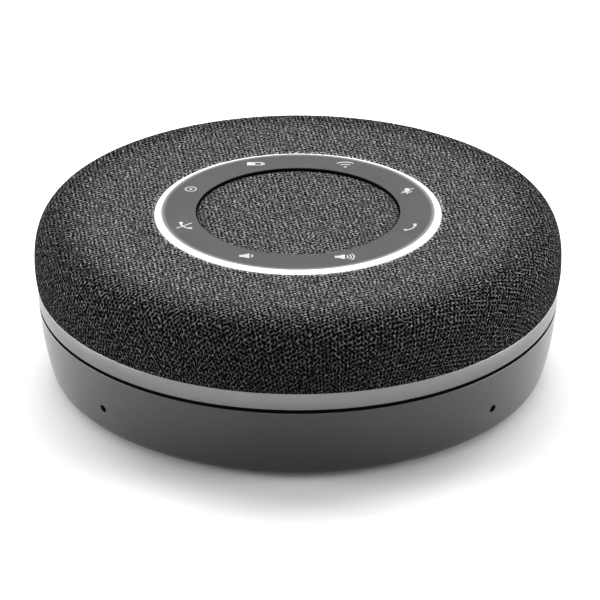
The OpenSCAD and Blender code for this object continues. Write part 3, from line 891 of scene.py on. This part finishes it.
def outer_cloth():
    """The knitted cover over the dome, hemmed round the light ring."""
    chain = outline("outer_cloth")
    inner_edge = radii("light_ring")[1] + 0.04 * MM
    side = [p for p in chain if p[0] > inner_edge]
    line = smooth_line(side, 0.7 * MM)
    shoulder_r, top_z = line[-1]
    hem = 0.3 * MM
    flat_end = inner_edge + hem
    runs = max(2, round((shoulder_r - inner_edge) / (0.9 * MM)))
    flat = [(shoulder_r + (flat_end - shoulder_r) * k / runs, top_z) for k in range(1, runs + 1)]
    curl = [(inner_edge + hem * (1 - math.sin(a)), top_z - hem * (1 - math.cos(a))) for a in quarter(4)]
    skin = line + flat + curl
    thickness = 0.6 * MM
    under = [(max(r, inner_edge), z) for r, z in inset_line(line + flat, thickness)[::-1]]
    piece = lathe("outer_cloth_skin", skin + under, 256)
    lay_flat(piece, skin[::-1])
    finish_piece(piece, "root", "cloth", "outer_cloth")
    declare_stretched(skin)


def inner_cloth():
    """The cloth disc inside the keys, with a soft edge."""
    r = radii("inner_cloth")[1]
    z0, z1 = low("inner_cloth"), high("inner_cloth")
    hem = 0.6 * MM
    fall = 0.42 * MM
    rows = 28
    skin = [((r - hem) * k / rows, z1) for k in range(rows + 1)]
    skin += [(r - hem * (1 - math.sin(a)), z1 - fall * (1 - math.cos(a))) for a in quarter(6)]
    piece = lathe("inner_cloth_skin", skin + [(r, z0), (0, z0)], 192)
    lay_flat(piece, skin)
    finish_piece(piece, "root", "cloth", "inner_cloth")
    declare_stretched(skin)


# ---------------------------------------------------------------- light ring and keys
KEY_SKIN = 0.02 * MM                 # how far the keys' skin lies below the top of the body
KEY_SPAN = 45                        # one key's share of the ring, in degrees


def light_ring():
    """The light guide, whose top slopes down outwards to the cloth."""
    r_in, r_out = radii("light_ring")
    z0, z1 = low("light_ring"), high("light_ring")
    fall = 0.68 * MM
    section = rounded([(r_in, z0), (r_out, z0), (r_out, z1 - fall, 0.12 * MM), (r_in, z1, 0.05 * MM)], 3)
    piece = lathe("light_ring_guide", section)
    finish_piece(piece, "root", "light_guide", "light_ring")


def recess_shade_sleeve():
    """A near-black sleeve round the recess inside the keys: painted shade that stands for the shadow in the
    gap between the keys and the cloth disc.
    """
    r0 = radii("inner_cloth")[1] + 0.02 * MM
    r1 = radii("key_answer")[0] - 0.03 * MM
    top = high("key_answer") - 0.16 * MM
    foot = top - 1.6 * MM
    piece = lathe("recess_shade_sleeve", [(r0, foot), (r1, foot), (r1, top), (r0, top)])
    finish_piece(piece, "root", "seam_black")


def key_angles():
    """Each key's angle about +Z, in radians: half a span off the axes, nearest to the key's points."""
    found = {}
    half = KEY_SPAN / 2
    for key in KEYS:
        middle = node_points(key).mean(0)
        angle = math.degrees(math.atan2(middle[1], middle[0]))
        found[key] = math.radians(round((angle - half) / KEY_SPAN) * KEY_SPAN + half)
    return found


def key_section(r_in, r_out, z0, z1):
    """A key's section as an open line, with both its top edges eased and points all across its top."""
    steps = 4
    across = 14
    edge = 0.1 * MM
    rim = rounded([(r_in, z0), (r_in, z1, edge), (r_out, z1, edge), (r_out, z0)], steps)
    ends_at = 2 + steps
    a, b = rim[ends_at - 1], rim[ends_at]
    flat = [(a[0] + (b[0] - a[0]) * k / across, z1) for k in range(1, across)]
    return rim[:ends_at] + flat + rim[ends_at:]


def half_key(name, section, border, middle, runs=18):
    """A section swept from a key's border to its middle, closed at both ends."""
    vertices = []
    for i in range(runs + 1):
        t = border + (middle - border) * i / runs
        vertices += [(r * math.cos(t), r * math.sin(t), z) for r, z in section]
    count = len(section)
    faces = []
    for i in range(runs):
        for k in range(count):
            m = (k + 1) % count
            faces.append((i * count + k, i * count + m, (i + 1) * count + m, (i + 1) * count + k))
    faces.append(tuple(range(count)))
    faces.append(tuple(range(runs * count, (runs + 1) * count)))
    return mesh_piece(name, vertices, faces, 40)


def key_skins():
    """One unbroken soft skin over the eight keys, in half-key pieces that meet at the keys' borders."""
    r_in, r_out = radii("key_answer")
    z1 = high("key_answer") - KEY_SKIN
    section = key_section(r_in, r_out, z1 - 0.9 * MM, z1)
    for key, middle in key_angles().items():
        for side, word in ((-1, "near"), (1, "far")):
            border = middle + side * math.radians(KEY_SPAN / 2)
            piece = half_key(f"{key}_skin_{word}", section, border, middle)
            piece.data.materials.append(MATERIALS["key_plastic"])
            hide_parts(key)
            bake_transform(piece)


# ---------------------------------------------------------------- symbols, drawn in millimetres
PEN = 0.34                           # width of a drawn line
SYMBOL_CIRCLE = 29.65 * MM
SYMBOL_RISE = 0.5 * MM               # how far the symbols' circle sits behind the middle
SYMBOL_T = 0.06 * MM
# Each symbol's angle from the front, in degrees, positive towards +X.
SYMBOL_PLACES = {"key_function": -114.2, "key_battery": -158.7, "key_wireless": 156.0,
                 "key_mic_mute": 111.7, "key_answer": 69.4, "key_volume_up": 22.6,
                 "key_volume_down": -25.2, "key_end_call": -71.5}


def stroke(points, width=PEN):
    """The outline of an open line drawn with a pen of that width, with round ends."""
    half = width / 2
    left = []
    right = []
    for i, p in enumerate(points):
        here = Vector(p)
        along = along_line(points, i)
        side = Vector((-along.y, along.x)) * half
        left.append(tuple(here + side))
        right.append(tuple(here - side))
    ends = []
    for at, toward in ((points[-1], points[-2]), (points[0], points[1])):
        at, along = Vector(at), (Vector(at) - Vector(toward)).normalized()
        side = Vector((-along.y, along.x))
        ends.append([tuple(at + half * (side * math.cos(a) + along * math.sin(a)))
                     for a in (math.pi * k / 8 for k in range(1, 8))])
    return left + ends[0] + right[::-1] + ends[1]


def arc(cx, cy, r, a0, a1, steps=14):
    """Points along an arc, with its angles in degrees."""
    return [(cx + r * math.cos(math.radians(a0 + (a1 - a0) * k / steps)),
             cy + r * math.sin(math.radians(a0 + (a1 - a0) * k / steps))) for k in range(steps + 1)]


def disc(cx, cy, r):
    return arc(cx, cy, r, 0, 345, 23)


def mirrored(upper):
    """A closed outline from its upper half, which the X axis mirrors."""
    return [(x, -y) for x, y in upper] + upper[::-1]


def loudspeaker(waves):
    """A small loudspeaker with a number of sound waves before it."""
    horn = mirrored([(-2.4, 0.55), (-1.5, 0.6), (-0.1, 1.3), (0.1, 1.2)])
    return [horn] + [stroke(arc(-0.3, 0, 1.15 + 0.75 * k, -38, 38)) for k in range(waves)]


def battery():
    """A lying battery with its pole at the right."""
    return rectangle(-2.3, -1.0, 1.7, 1.0)[:2] + rectangle(1.7, -0.5, 2.25, 0.5) + [(1.7, 1.0), (-2.3, 1.0)]


def handset(side):
    """A simple curved handset with thick ends, hanging down towards side: 1 to the left, -1 to the right."""
    spine = [(side * x, 1.25 * y) for x, y in arc(-2.4, 2.1, 3.5, -84, -6, 20)]
    outer = []
    inner = []
    for i, p in enumerate(spine):
        share = i / (len(spine) - 1)
        bulb = math.sqrt(max(0, abs(2 * share - 1) - 0.5) / 0.5)
        normal = along_line(spine, i).orthogonal() * side
        inner.append(tuple(Vector(p) + normal * (0.26 + 0.62 * bulb)))
        outer.append(tuple(Vector(p) - normal * 0.16))
    return inner + outer[::-1]


def symbol_shapes():
    """Each key's symbol as flat outlines, upright for a user at the front."""
    mic_body = arc(0, 0.95, 0.62, 0, 180) + arc(0, -0.1, 0.62, 180, 360)
    mic_stand = [stroke(arc(0, 0, 1.15, 200, 340)), stroke([(0, -1.2), (0, -1.8)])]
    radio_waves = [stroke(arc(0, -1.6, r, 48, 132), 0.44) for r in (1.6, 2.95)]
    return {
        "key_volume_down": loudspeaker(1),
        "key_volume_up": loudspeaker(3),
        "key_battery": [battery()],
        "key_wireless": [disc(0, -1.6, 0.42)] + radio_waves,
        "key_mic_mute": [mic_body] + mic_stand + [stroke([(-1.5, -1.5), (1.6, 1.5)])],
        "key_answer": [handset(1)],
        "key_end_call": [handset(-1), stroke([(-1.7, -1.4), (1.9, 1.6)])],
        "key_function": [stroke(arc(0, 0, 1.35, 0, 360, 32)), disc(0, 0, 0.42)],
    }


BATTERY_WINDOW = rectangle(-0.2, -0.6, 1.35, 0.6)


def symbol_place(key, shapes):
    """Scales a symbol's outlines to metres and puts the middle of their box in its place."""
    around = math.radians(SYMBOL_PLACES[key])
    x, y = SYMBOL_CIRCLE * math.sin(around), SYMBOL_RISE - SYMBOL_CIRCLE * math.cos(around)
    corners = [Vector(p) for shape in shapes for p in shape]
    mid_x = (min(p.x for p in corners) + max(p.x for p in corners)) / 2
    mid_y = (min(p.y for p in corners) + max(p.y for p in corners)) / 2
    return Matrix.Translation((x - mid_x * MM, y - mid_y * MM, 0)) @ Matrix.Diagonal((MM, MM, 1, 1))


def symbols():
    """Thin printed symbols that ride on their keys."""
    top = high("key_answer")
    for key, shapes in symbol_shapes().items():
        place = symbol_place(key, shapes)
        whole, *others = [prism(f"{key}_symbol_{i}", shape, top - SYMBOL_T, top, place)
                          for i, shape in enumerate(shapes)]
        if key == "key_battery":
            cut(whole, [prism("window", BATTERY_WINDOW, top - MM, top + MM, place)])
        combine(whole, others, "UNION")
        whole.name = f"{key}_symbol"
        shade(whole.data, 30)
        finish_piece(whole, key, "key_plastic", material="symbol_print")


# ---------------------------------------------------------------- stage
def floor():
    """A plain pale floor, wide enough to fill the view."""
    mesh = bpy.data.meshes.new("floor")
    half = 6.0
    corners = [(x, y, 0) for x, y in rectangle(-half, -half, half, half)]
    mesh.from_pydata(corners, [], [(0, 1, 2, 3)])
    piece = add_object("floor", mesh)
    g = new_graph("floor")
    g.to("Base Color", g.mix(g.noise(g.place(), 0.5), grey(0.41), grey(0.43)))
    g.set(Roughness=0.9, Specular_IOR_Level=0.1, Emission_Color=WHITE, Emission_Strength=0.05)
    mesh.materials.append(g.material)


def soft_sun(name, around, up, spread, strength):
    """A soft distant light: around from the camera's side and up are in degrees."""
    data = bpy.data.lights.new(name, "SUN")
    data.energy = strength * math.pi
    data.angle = math.radians(spread)
    lamp = bpy.data.objects.new(name, data)
    bpy.context.scene.collection.objects.link(lamp)
    flat = math.cos(math.radians(up))
    toward = Vector((flat * math.sin(math.radians(around)), -flat * math.cos(math.radians(around)),
                     math.sin(math.radians(up))))
    lamp.rotation_euler = toward.to_track_quat("Z", "Y").to_euler()


def lights():
    """A soft key from above and behind, four low panels at the sides and back, and an even pale room."""
    soft_sun("key", 180, 60, 45, 1.36)
    for side in (-1, 1):
        soft_sun("back_panel", side * 135, 20, 40, 1.5)
        soft_sun("side_panel", side * 90, 12, 30, 1.7)
    world = bpy.data.worlds.new("studio")
    bpy.context.scene.world = world
    world.use_nodes = True
    backdrop = world.node_tree.nodes["Background"]
    backdrop.inputs["Color"].default_value = WHITE
    backdrop.inputs["Strength"].default_value = 0.78


def camera():
    """A long lens a metre away, 25 degrees above the keys, aimed at the middle of the body."""
    top = high("key_answer")
    away = 1.0
    lift = math.radians(24.98)
    aside, below = 0.5 * MM, 25 * MM
    aim = Vector((aside, 0, top - below))
    data = bpy.data.cameras.new("camera")
    data.sensor_width = 36
    data.lens = 240.4
    lens = bpy.data.objects.new("camera", data)
    bpy.context.scene.collection.objects.link(lens)
    lens.location = Vector((0, -away * math.cos(lift), top + away * math.sin(lift)))
    lens.rotation_euler = (aim - lens.location).to_track_quat("-Z", "Y").to_euler()
    bpy.context.scene.camera = lens


dress_cad_nodes()
base_shell()
power_button()
mid_frame()
metal_band()
bottom_plate()
body_screws()
foot_ring()
inlet_socket()
mic_gauzes()
outer_cloth()
inner_cloth()
light_ring()
recess_shade_sleeve()
key_skins()
symbols()
floor()
lights()
camera()
bpy.context.scene.view_settings.view_transform = "Standard"
bpy.context.scene.view_settings.gamma = 0.8
